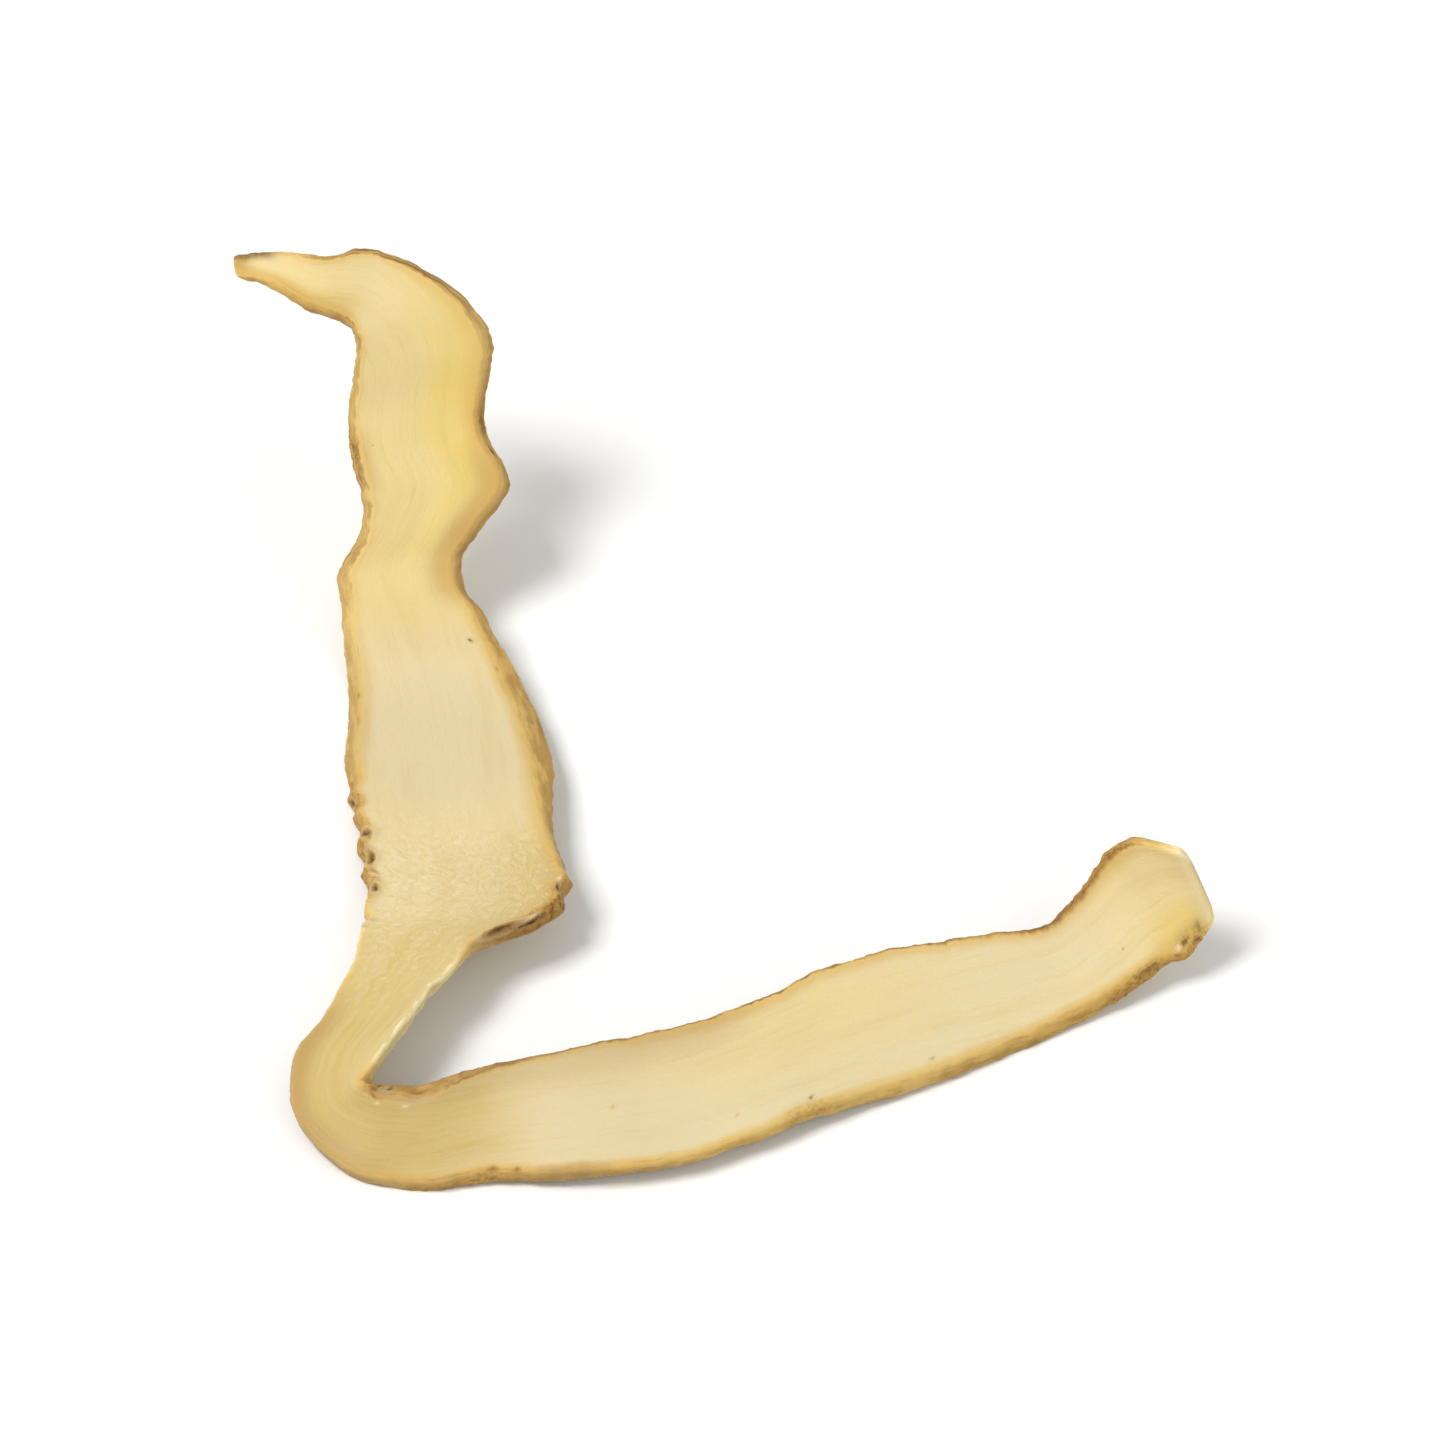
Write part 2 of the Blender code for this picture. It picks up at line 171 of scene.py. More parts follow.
# Looks of each edge at places along it: the skin's tone from 0, flesh, to 1, tan; the strength of
# the line on the rim, brown above zero, wider above one and pale below zero, the pale line partly
# painted light; and the width of the golden margin of painted shade that it gives the cut face where
# the edge rolls away from the light, in millimetres
SKIN_LOOKS = {
    "outer": (
        ("stub tip", 0.9, 0.2, 0.5), ("stub", 0.8, 0.1, 0.8), ("stub root", 1.0, 0.3, 0.9),
        ("shoulder", 0.8, 0.6, 0.5), ("elbow", 0.6, 0.6, 0.4), ("upper arm", 0.5, 0.4, 0.4),
        ("dent", 0.6, 0.8, 0.6), ("side bump", 0.45, 0.5, 0.6), ("waist", 0.5, 0.6, 0.5),
        ("below waist", 0.45, 0.1, 0.8), ("widening", 0.5, 0.1, 1.0), ("belly", 0.6, 0.2, 0.7),
        ("node top", 0.9, 0.4, 0.4), ("node", 0.6, 0.3, 0.4), ("node corner", 0.4, 0.1, 0.3),
        ("node end", 0.2, -0.2, 0.4), ("neck", 0.3, 0.0, 0.8), ("bend start", 0.6, 0.2, 1.4),
        ("bend left", 0.9, 0.3, 2.2), ("bend middle", 0.75, 0.1, 1.5), ("bend front", 0.6, 0.0, 0.9),
        ("bend end", 0.75, 0.4, 0.4), ("second arm", 0.8, 0.4, 0.4), ("arm 1", 0.8, 0.1, 0.5),
        ("arm 3", 0.5, 0.0, 0.5), ("arm 5", 0.6, 0.1, 0.6), ("arm 6", 0.8, 0.2, 0.6),
        ("flare", 0.9, 0.3, 0.7), ("cut corner", 0.9, 0.2, 0.7), ("cut end", 0.3, -0.3, 0.2),
    ),
    "inner": (
        ("stub tip", 0.9, 0.8, 0.2), ("stub", 0.4, 0.2, 0.3), ("stub root", 0.7, 0.6, 0.5),
        ("shoulder", 0.6, 1.0, 0.4), ("elbow", 0.6, 0.8, 1.0), ("elbow corner", 0.5, 0.3, 1.6),
        ("upper arm", 0.7, 0.2, 1.8), ("dent", 0.9, 0.3, 1.0), ("side bump", 0.8, 0.1, 1.8),
        ("above waist", 0.9, 0.1, 1.9), ("waist", 0.9, 0.2, 1.5), ("below waist", 0.7, 0.3, 0.9),
        ("widening", 0.7, 0.0, 0.8), ("belly", 0.65, 0.0, 0.8), ("node top", 0.7, 0.2, 1.4),
        ("node", 0.9, 0.4, 0.8), ("node corner", 0.9, 0.6, 0.4), ("node end", 0.5, 0.4, 0.2),
        ("neck", 0.0, -0.6, 0.1), ("bend start", 0.0, -0.8, 0.1), ("bend left", 0.1, -0.5, 0.1),
        ("bend middle", 0.9, 0.2, 0.2), ("bend front", 1.0, 0.3, 0.2), ("bend end", 0.8, 0.3, 0.4),
        ("second arm", 0.8, 1.4, 0.3), ("arm 1", 0.8, 1.3, 0.5), ("arm 3", 0.8, 1.1, 1.1),
        # At the flared end the wide dark line on the inner rim is partly painted shadow along its curled
        # lip
        ("arm 5", 0.8, 1.1, 0.9), ("flare start", 1.0, 1.8, 1.0), ("flare end", 1.0, 2.0, 1.5),
        ("cut corner", 0.5, 0.2, 0.9), ("cut end", 0.2, -0.5, 0.3),
    ),
}
LOOK_NAMES = ("skin_tone", "rim_line", "shade_margin_mm")

# Zones of the surface, by kind: station, distance past it, half length (mm), place across from -1
# at the outer edge to 1 at the inner edge, half width in the same units, strength
ZONES = {
    "pale": (
        ("widening", 4.8, 8.8, -0.1, 1.1, 1.0),
        ("node", -1.0, 4.0, -0.3, 0.8, 0.5),
        ("arm 1", 3.0, 10.0, -0.3, 0.9, 1.0),
        ("arm 4", 0.0, 9.0, -0.5, 0.8, 0.7),
        ("arm 6", 1.0, 10.0, 0.1, 1.2, 0.7),
        ("stub", 0.5, 3.5, 0.3, 1.5, 0.2),
    ),
    "yellow": (
        ("elbow corner", 5.5, 7.5, 0.5, 0.45, 0.95),
        ("upper arm", 0.0, 8.0, -0.2, 1.5, 0.25),
        ("waist", 0.0, 5.5, 0.0, 2.0, 0.40),
        ("arm 3", 4.2, 9.5, 0.2, 0.5, 0.25),
        ("cut end", -2.5, 4.0, 0.1, 1.5, 0.20),
        ("stub root", -0.6, 3.2, -0.9, 0.6, 0.60),
        ("stub", 2.0, 3.5, 0.0, 1.3, 0.30),
        ("elbow", 3.0, 5.0, 0.9, 0.35, 0.40),
        ("flare end", 1.3, 2.0, -0.60, 0.38, 0.75),
    ),
    "amber": (
        ("stub tip", 0.1, 1.3, -0.4, 1.6, 0.8),
        ("stub root", 0.5, 3.2, -1.0, 0.7, 0.75),
        ("widening", -2.0, 9.0, -1.0, 0.16, 0.35),
        ("node", 0.0, 6.5, 0.8, 0.4, 0.5),
        ("node", 1.5, 5.5, 0.4, 0.9, 0.22),
        ("neck", 0.0, 5.0, 0.0, 1.6, 0.62),
        ("bend left", 1.0, 7.0, -0.2, 1.3, 0.95),
        ("bend front", 0.8, 3.5, -0.6, 0.7, 0.7),
        ("bend end", -0.5, 6.5, 0.1, 1.2, 0.85),
    ),
    # Tan along the edges: partly the slice's own tan, partly painted shade where an edge rolls away from
    # the light
    "tan_and_shade": (
        ("side bump", 0.4, 2.6, 1.0, 0.45, 0.60),
        ("above waist", 2.6, 3.4, 1.0, 0.48, 0.65),
        ("dent", 0.6, 2.4, -1.0, 0.30, 0.40),
        ("bend left", 0.8, 5.8, -1.0, 0.42, 0.50),
        ("node top", 2.2, 4.8, -1.0, 0.11, 0.80),
        ("stub tip", -0.1, 0.8, 0.0, 1.7, 0.60),
        ("arm 2", 2.0, 5.0, 0.95, 0.20, 0.35),
        ("node", 0.5, 4.5, 1.0, 0.22, 0.30),
        ("stub root", 0.2, 2.4, -1.05, 0.40, 0.40),
        ("flare end", 1.2, 2.2, -0.92, 0.34, 0.45),
    ),
    # Painted shade: umber that darkens edges and patches turned from the light
    "painted_shade": (
        ("side bump", 1.0, 3.0, 0.9, 0.50, 0.22),
        ("above waist", 2.6, 3.6, 0.85, 0.50, 0.22),
        ("widening", 1.0, 5.5, -1.0, 0.30, 0.15),
        ("below waist", 0.8, 2.6, 0.1, 0.8, 0.12),
        ("arm 1", 0.5, 6.5, -0.1, 1.2, 0.10),
        ("belly", -1.5, 9.0, 0.1, 1.3, 0.15),
        ("node", 1.0, 5.0, 0.6, 0.6, 0.10),
        ("bend left", 0.8, 5.8, -0.9, 0.50, 0.50),
        ("bend front", 2.0, 5.5, -0.2, 1.4, 0.20),
        ("second arm", 2.0, 6.5, 0.9, 0.45, 0.30),
        ("arm 2", 0.5, 5.0, 0.9, 0.45, 0.26),
        ("second arm", 4.6, 2.4, -1.0, 0.14, 0.45),
        ("stub root", 0.2, 2.6, -1.0, 0.45, 0.12),
    ),
    "grain": (
        ("node", 0.5, 7.0, 0.2, 1.6, 1.0),
        ("neck", 0.0, 5.0, 0.0, 2.0, 0.5),
    ),
    "tip": (
        ("stub tip", 1.4, 1.25, 1.15, 0.65, 1.0),
    ),
    "crust": (
        ("stub root", 1.5, 0.8, 1.05, 0.12, 0.6),
        ("dent", -0.3, 1.2, 1.0, 0.10, 0.5),
        ("upper arm", 2.4, 1.0, -1.0, 0.06, 0.7),
        ("node top", 3.9, 4.2, -1.0, 0.13, 0.8),
        ("belly", 4.4, 1.2, -0.98, 0.10, 0.9),
        ("node corner", -0.2, 3.3, 1.04, 0.13, 1.0),
        ("bend front", -0.3, 1.8, 1.0, 0.25, 0.5),
        ("arm 3", 2.6, 2.0, -1.0, 0.12, 0.4),
        ("flare", -0.3, 2.2, -1.0, 0.16, 0.8),
        ("flare end", 1.9, 1.2, -1.0, 0.30, 0.65),
        ("bend end", 2.6, 3.0, -1.02, 0.10, 0.5),
        # The crust along the flared end's inner rim is partly painted shadow along its curled lip
        ("flare end", -0.8, 3.4, 1.04, 0.13, 0.9),
    ),
}

# Where a zone ends, in half lengths from its middle
ZONE_END = 1.6

# Small marks: tone, edge, station, distance past it, place in from the rim (below zero down the
# skin), half length, half width and depth, all in millimetres
MARKS = (
    ("brown", "outer", "belly", 2.0, -1.15, 0.25, 0.18, 0.0),
    ("dark", "outer", "belly", 4.1, -1.15, 0.42, 0.22, 0.15),
    ("brown", "outer", "belly", 4.9, -0.85, 0.30, 0.18, 0.08),
    ("dark", "outer", "node top", 1.2, 0.0, 0.34, 0.42, 0.18),
    ("brown", "outer", "node top", 1.6, 0.35, 0.25, 0.16, 0.05),
    ("brown", "outer", "node top", 2.3, -0.25, 0.35, 0.16, 0.08),
    ("dark", "outer", "node top", 3.6, 0.04, 0.62, 0.24, 0.20),
    ("light", "outer", "node", -0.6, 0.10, 0.22, 0.20, 0.0),
    ("brown", "outer", "node top", 5.0, 0.28, 0.22, 0.14, 0.05),
    ("dark", "outer", "node", 0.8, 0.12, 0.42, 0.24, 0.16),
    ("grey", "outer", "node corner", 1.1, 0.20, 0.26, 0.55, 0.12),
    ("grey", "outer", "node corner", 2.0, -0.05, 0.30, 0.35, 0.06),
    ("light", "inner", "node", -0.1, 0.05, 0.24, 0.20, 0.0),
    ("dark", "inner", "node", 0.7, -0.22, 0.36, 0.15, 0.18),
    ("brown", "inner", "node", 2.1, -0.30, 0.90, 0.12, 0.10),
    ("light", "inner", "node corner", 0.5, -0.22, 0.65, 0.12, 0.0),
    ("dark", "inner", "node corner", 0.7, -0.60, 0.80, 0.13, 0.12),
    ("dark", "inner", "node corner", 2.0, -0.24, 0.75, 0.32, 0.16),
    ("brown", "inner", "node corner", 0.2, -1.20, 2.20, 0.17, 0.0),
    ("brown", "inner", "node", 1.4, -0.95, 1.20, 0.15, 0.0),
    ("dark", "inner", "below waist", 2.5, 0.74, 0.17, 0.14, 0.04),
    ("brown", "inner", "widening", -0.9, -0.10, 0.20, 0.12, 0.0),
    ("brown", "inner", "widening", 3.7, -1.75, 1.50, 0.14, 0.05),
    ("brown", "outer", "widening", 0.3, -0.49, 0.30, 0.13, 0.0),
    ("brown", "outer", "widening", 2.8, -0.42, 0.60, 0.10, 0.0),
    ("brown", "inner", "dent", -0.4, -0.85, 0.90, 0.30, 0.06),
    ("dark", "inner", "dent", 1.4, -0.80, 0.24, 0.22, 0.10),
    ("dark", "outer", "upper arm", 2.1, -0.55, 0.30, 0.14, 0.08),
    ("brown", "outer", "upper arm", 3.1, -0.60, 0.60, 0.14, 0.05),
    ("brown", "outer", "dent", 2.0, -0.60, 0.70, 0.12, 0.05),
    ("dark", "inner", "stub root", 1.6, -0.55, 0.45, 0.16, 0.03),
    ("brown", "inner", "shoulder", 1.0, -0.35, 1.80, 0.24, 0.0),
    ("dark", "inner", "bend middle", 2.1, -1.05, 0.20, 0.22, 0.10),
    ("dark", "inner", "bend front", 0.7, -1.05, 0.20, 0.22, 0.10),
    ("brown", "inner", "bend middle", 2.0, -0.45, 0.50, 0.20, 0.06),
    ("brown", "inner", "bend end", -0.4, -0.75, 0.60, 0.20, 0.06),
    ("grey", "inner", "bend end", -0.8, 0.02, 1.70, 0.13, 0.05),
    ("grey", "inner", "bend front", 0.2, -0.70, 1.00, 0.36, 0.0),
    ("brown", "inner", "bend middle", 2.4, 0.0, 0.60, 0.12, 0.03),
    ("light", "inner", "bend front", 0.2, 0.30, 0.18, 0.10, 0.0),
    ("light", "inner", "bend end", -1.2, 0.35, 0.22, 0.09, 0.0),
    ("brown", "outer", "bend end", 4.1, -0.13, 0.30, 0.18, 0.05),
    ("brown", "outer", "second arm", 1.3, -0.13, 0.22, 0.16, 0.05),
    ("faint", "outer", "arm 1", 1.8, 4.20, 0.16, 0.12, 0.0),
    ("faint", "outer", "arm 2", 3.9, 1.43, 0.14, 0.12, 0.0),
    ("dark", "outer", "arm 3", 2.8, 0.55, 0.16, 0.14, 0.05),
    ("brown", "outer", "arm 5", -1.0, 0.60, 0.14, 0.12, 0.02),
    ("dark", "outer", "flare end", 1.3, 0.30, 0.24, 0.20, 0.10),
    ("dark", "outer", "flare end", 2.1, -0.30, 0.32, 0.26, 0.12),
    ("brown", "outer", "flare end", 2.7, 0.45, 0.20, 0.34, 0.04),
    ("brown", "outer", "flare end", 0.3, -0.25, 0.35, 0.20, 0.06),
    ("light", "outer", "flare end", 0.7, 0.25, 0.22, 0.20, 0.0),
    ("brown", "outer", "flare", 0.4, -0.45, 0.80, 0.22, 0.08),
)
MARK_TONES = ("dark", "brown", "grey", "light", "faint")

# Reach of a mark, in its own half sizes from its middle: its pit, the lip round that, the tan halo
# of a deep one, and its end
PIT_REACH = 0.9
LIP_PLACE = 1.45
LIP_REACH = 0.4
HALO_REACH = 2.3
MARK_END = 3.0

# The lip's height as a share of the pit's depth, and the depth past which a dark pit's lip is pale
MARK_LIP_SHARE = 0.30
LIPPED_DEPTH = 0.12 * MM
LIP_LIGHT = 0.45

# Fine relief of the cut faces: the lip inside the rim, the furrows and waves of shrinking, and the
# node's grain, with the spacings of their noises, along and across where there are two
RIM_LIP = 0.03 * MM
RIM_LIP_PLACE = 0.10 * MM
RIM_LIP_WIDTH = 0.35 * MM
SHRINK_RELIEF = 0.045 * MM
FURROW_SHARE = 0.6
FURROW_SPACING = (5.0 * MM, 1.3 * MM)
WAVE_SHARE = 0.5
WAVE_SPACING = (2.2 * MM, 2.6 * MM)
WAVE_SEED = 3.0
LOWER_FACE_SEED = 7.0
GRAIN_RELIEF = 0.045 * MM
GRAIN_SPACING = 0.7 * MM

# Fine relief of the skin: wrinkles, which fade towards the rims, lumps in the crust, and nicks in
# the edges. A layered noise has a fall-off, a step between its layers and their number.
SKIN_WRINKLE = 0.08 * MM
WRINKLE_SPACING = (1.8 * MM, 0.4 * MM, 2.0 * MM)
WRINKLE_LAYERS = (0.7, 2.0, 3)
WRINKLE_FADE = 0.25 * MM
CRUST_RELIEF = 0.16 * MM
CRUST_SPACING = 0.5 * MM
EDGE_NICK = 0.08 * MM
EDGE_NICK_SPACING = 1.0 * MM
EDGE_NICK_SEED = 5.0
EDGE_NICK_LAYERS = (0.6, 2.0, 4)

# The pale line along the flared cut end
CUT_LIP_WIDTH = 0.22 * MM
CUT_EDGE_LIGHT = 0.45

# Camera: the photograph's direction, and a lens that fills the frame with the one slice
CAMERA_ELEVATION = math.radians(42.0)
CAMERA_DISTANCE = 600.0 * MM
CAMERA_AIM = Vector((0.4, 4.0, 4.8)) * MM
SEEN_WIDTH = 92.0 * MM
SENSOR_WIDTH = 36.0
NEAREST_SEEN = 10.0 * MM

# Studio: each light's name, place, size and power, the strength of the world, and the floor
LIGHTS = (
    ("key", (-0.45, -0.15, 0.80), 0.35, 6.3),
    ("fill", (0.6, -0.5, 0.5), 0.6, 1.8),
)
WORLD_WHITE = (1.0, 1.0, 1.0, 1.0)
WORLD_STRENGTH = 0.56
FLOOR_SIZE = 4.0
FLOOR_WHITE = (0.86, 0.86, 0.85, 1.0)
FLOOR_ROUGHNESS = 0.9
FLOOR_SPECULAR = 0.1

# Colours of the dried slice, linear
CREAM = (0.690, 0.565, 0.295, 1.0)
PALE = (0.665, 0.570, 0.345, 1.0)
YELLOW = (0.700, 0.535, 0.160, 1.0)
AMBER = (0.560, 0.412, 0.138, 1.0)
FLECK = (0.750, 0.650, 0.430, 1.0)
FLESH_EDGE = (0.740, 0.575, 0.225, 1.0)
OCHRE = (0.600, 0.390, 0.100, 1.0)
TAN = (0.475, 0.272, 0.052, 1.0)
# Whitish lip on the rim, brightened past its own colour as painted light where it faces away from the
# lamps
PALE_LIP_AND_LIGHT = (0.850, 0.750, 0.480, 1.0)
BROWN = (0.255, 0.125, 0.028, 1.0)
DARK_BROWN = (0.110, 0.045, 0.010, 1.0)
TIP_BROWN = (0.135, 0.082, 0.038, 1.0)
# Umber of the painted shade
SHADE_UMBER = (0.340, 0.220, 0.090, 1.0)
CREASE_GREY = (0.430, 0.340, 0.240, 1.0)

# Marks in the order in which they are painted: tone, strength and colour
MARK_COLOURS = (
    ("faint", 0.6, TAN),
    ("grey", 0.7, CREASE_GREY),
    ("light", 0.8, FLECK),
    ("brown", 0.8, BROWN),
)

# Specks: cells a millimetre, radius and core in cells, share of the cells without one, strength
SPECK_SCALE = 0.55
SPECK_RADIUS = 0.075
SPECK_CORE = 0.03
SPECK_FREE_SHARE = 0.92
SPECK_STRENGTH = 0.4

# Noises of the colours: how far the lower face's lie from the upper face's, and the swirl that bends
# the node's fibres
LOWER_SPOT_SHIFT = 37.0
LOWER_FIBRE_SHIFT = 11.0
SWIRL_SCALE = 0.9
SWIRL_WIDTH = 2.2

# Gloss and depth of the slice's material
DULL_ROUGHNESS = 0.62
WAXY_ROUGHNESS = 0.45
SLICE_SPECULAR = 0.25
SUBSURFACE_SHARE = 0.35
SUBSURFACE_COLOURS = (1.0, 0.6, 0.25)
SUBSURFACE_DEPTH = 1.2 * MM
BUMP_HEIGHT = 0.07 * MM

# The unrolled surface: place of each strip and end face across the sheet, the height of the end
# faces on it, and the sheet's size, in millimetres
STRIP_PLACES = {"upper": 7.5, "lower": 22.5, "inner": 30.5, "outer": 34.0, "tip": 38.0, "end": 39.5}
END_FACE_HEIGHT = 10.0
SHEET_HALF_WIDTH = 40.0
SHEET_MARGIN = 1.0


def station_distances(outer, inner):
    """Distance of each station along the middle of the slice."""
    distances = [0.0]
    for here in range(1, len(outer)):
        step = (outer[here] + inner[here] - outer[here - 1] - inner[here - 1]) / 2
        distances.append(distances[-1] + step.length)
    return distances


def slope_at(points, distances, here):
    """Slope of the smooth curve at one of its points, from the chords on its two sides."""
    if here == 0 or here == len(points) - 1:
        start = min(here, len(points) - 2)
        return (points[start + 1] - points[start]) / (distances[start + 1] - distances[start])
    before = distances[here] - distances[here - 1]
    after = distances[here + 1] - distances[here]
    chord_before = (points[here] - points[here - 1]) / before
    chord_after = (points[here + 1] - points[here]) / after
    return (chord_before * after + chord_after * before) / (before + after)


def curve_point(points, distances, distance):
    """Point of the smooth curve through the points, at a distance along it."""
    left = 0
    while left < len(points) - 2 and distances[left + 1] < distance:
        left += 1
    span = distances[left + 1] - distances[left]
    t = (distance - distances[left]) / span
    bulge_start = slope_at(points, distances, left) * span
    bulge_end = slope_at(points, distances, left + 1) * span
    return (
        points[left] * (2 * t**3 - 3 * t**2 + 1)
        + bulge_start * (t**3 - 2 * t**2 + t)
        + points[left + 1] * (3 * t**2 - 2 * t**3)
        + bulge_end * (t**3 - t**2)
    )


OUTER = [Vector(row[1]) * MM for row in STATIONS]
INNER = [Vector(row[2]) * MM for row in STATIONS]
DISTANCES = station_distances(OUTER, INNER)
LENGTH = DISTANCES[-1]
STATION_DISTANCE = dict(zip(PLACES, DISTANCES))


def hump(away):
    """A rounded hump, 1 in its middle."""
    return math.exp(-away * away)


def plateau(away):
    """A flat-topped hump, 1 in its middle and soft at its border."""
    return math.exp(-away**4)


def edge_offset(edge, distance):
    """How far the skin's wrinkles, root scars and nicks move an edge outwards."""
    seed = SKIN_SEED[edge]
    offset = EDGE_WAVE * noise.noise(Vector((distance / EDGE_WAVE_SPACING, seed, 0.0)))
    for knob_edge, station, past, half_length, height in SKIN_KNOBS:
        if knob_edge == edge:
            away = (distance - STATION_DISTANCE[station] - past * MM) / (half_length * MM)
            offset += height * MM * hump(away)
    spot = Vector((distance / EDGE_NICK_SPACING, seed, EDGE_NICK_SEED))
    return offset + EDGE_NICK * noise.fractal(spot, *EDGE_NICK_LAYERS)


def between_places(rows, distance):
    """Values at a distance along the slice, from the rows of the places on both sides of it."""
    for row, next_row in zip(rows, rows[1:]):
        start, end = STATION_DISTANCE[row[0]], STATION_DISTANCE[next_row[0]]
        if distance <= end:
            share = (distance - start) / (end - start)
            return [a + (b - a) * share for a, b in zip(row[1:], next_row[1:])]
    return list(rows[-1][1:])


def skin_slope(edge, distance):
    """Slope of the skin at a distance along the slice."""
    return between_places(SKIN_SLOPES[edge], distance)[0] * MM


def thickness_at(distance):
    """The slice thins towards the stub's tip and towards the flared end."""
    from_tip = min(max(distance, 0.0) / TAPER_LENGTH, 1.0)
    from_end = min(max(LENGTH - distance, 0.0) / TAPER_LENGTH, 1.0)
    thinned_tip = STUB_THICKNESS + (THICKNESS - STUB_THICKNESS) * from_tip
    thinned_end = CUT_END_THICKNESS + (THICKNESS - CUT_END_THICKNESS) * from_end
    return min(thinned_tip, thinned_end)


def skin_strip(half_width, thickness, slope):
    """Fine points of the skin, from the upper rim to the lower one.

    Each is its place across and up, its outward direction, its run from the upper rim, and the run
    of the whole skin.
    """
    places = []
    for inset, height in SKIN_PROFILE:
        sloped = max(slope, 0.0) * (0.5 + height) + max(-slope, 0.0) * (0.5 - height)
        places.append(Vector((half_width - inset - sloped, height * thickness)))
    runs = [0.0]
    for before, after in zip(places, places[1:]):
        runs.append(runs[-1] + (after - before).length)
    shares = [k / (SKIN_POINTS - 1) for k in range(SKIN_POINTS)]
    curve = [curve_point(places, runs, runs[-1] * share) for share in shares]
    strip = []
    for k, point in enumerate(curve):
        step = curve[min(k + 1, SKIN_POINTS - 1)] - curve[max(k - 1, 0)]
        outwards = Vector((-step.y, step.x)).normalized()
        strip.append((point.x, point.y, outwards, runs[-1] * shares[k], runs[-1]))
    return strip


def face_steps(count):
    """Places across a cut face, from 0 to 1, closer together towards its rims."""
    steps = []
    for k in range(1, count + 1):
        share = k / (count + 1)
        eased = 0.5 - 0.5 * math.cos(math.pi * share)
        steps.append((share + eased) / 2)
    return steps


UPPER_STEPS = face_steps(UPPER_POINTS)
LOWER_STEPS = face_steps(LOWER_POINTS)


def face_strip(start, end, steps, strip, up):
    """Fine points of a cut face between its two rims."""
    points = []
    for step in steps:
        sideways = start[0] + (end[0] - start[0]) * step
        depth = min(abs(sideways - start[0]), abs(sideways - end[0]))
        points.append((sideways, start[1], Vector((0.0, up)), strip, depth, 0.0))
    return points


def section_points(half_width, thickness, inner_slope, outer_slope):
    """Closed outline of the section.

    Each point is its place across and up, its outward direction, its strip, its distance in from
    the rim, which is negative on the skin, and its run from the upper rim.
    """
    inner, outer = [], []
    for x, y, outwards, run, length in skin_strip(half_width, thickness, inner_slope):
        inner.append((x, y, outwards, "inner", -min(run, length - run), run))
    for x, y, outwards, run, length in reversed(skin_strip(half_width, thickness, outer_slope)):
        mirrored = Vector((-outwards.x, outwards.y))
        outer.append((-x, y, mirrored, "outer", -min(run, length - run), run))
    lower = face_strip(inner[-1], outer[0], LOWER_STEPS, "lower", -1.0)
    upper = face_strip(outer[-1], inner[0], UPPER_STEPS, "upper", 1.0)
    return inner + lower + outer + upper


def zone_strengths(distance, place_across):
    """Strength of each kind of zone at a distance along and a place across the slice."""
    strengths = {}
    for kind, rows in ZONES.items():
        plain = 1.0
        for station, past, half_length, middle, half_width, strength in rows:
            along = (distance - STATION_DISTANCE[station] - past * MM) / (half_length * MM)
            if abs(along) < ZONE_END:
                plain *= 1.0 - strength * plateau(along) * plateau((place_across - middle) / half_width)
        strengths[kind] = 1.0 - plain
    return strengths


def marks_near(distance):
    """The marks that reach a ring: tone, edge, how far the ring is past them, place and size."""
    near = []
    for tone, edge, station, past, place, half_length, half_across, depth in MARKS:
        away = (distance - STATION_DISTANCE[station] - past * MM) / (half_length * MM)
        if abs(away) < MARK_END:
            near.append((tone, edge, away, place * MM, half_across * MM, depth * MM))
    return near


def marked(near, side, place):
    """Height and tones that the marks give a point on one side, at a place in from its rim."""
    height, tones = 0.0, dict.fromkeys(MARK_TONES, 0.0)
    for tone, edge, away, mark_place, half_across, depth in near:
        if edge != side:
            continue
        reach = math.hypot(away, (place - mark_place) / half_across)
        pit = hump(reach / PIT_REACH)
        lip = hump((reach - LIP_PLACE) / LIP_REACH)
        height += depth * (MARK_LIP_SHARE * lip - pit)
        tones[tone] = max(tones[tone], pit)
        if tone == "dark" and depth > LIPPED_DEPTH:
            tones["light"] = max(tones["light"], LIP_LIGHT * lip)
            tones["faint"] = max(tones["faint"], hump(reach / HALO_REACH))
    return height, tones


def skin_relief(point, distance, sideways, depth, crust):
    """Wrinkles and crust of the skin at a point, outwards."""
    along, up, across = WRINKLE_SPACING
    spot = Vector((distance / along, point.z / up, sideways / across))
    wrinkle = noise.fractal(spot, *WRINKLE_LAYERS)
    inside = min(1.0, -depth / WRINKLE_FADE)
    lumps = noise.noise(point / CRUST_SPACING)
    return inside * (SKIN_WRINKLE * wrinkle + CRUST_RELIEF * crust * abs(lumps))


def face_noise(distance, sideways, spacing, seed):
    """A noise on a cut face, with one spacing along it and another across."""
    return noise.noise(Vector((distance / spacing[0], sideways / spacing[1], seed)))


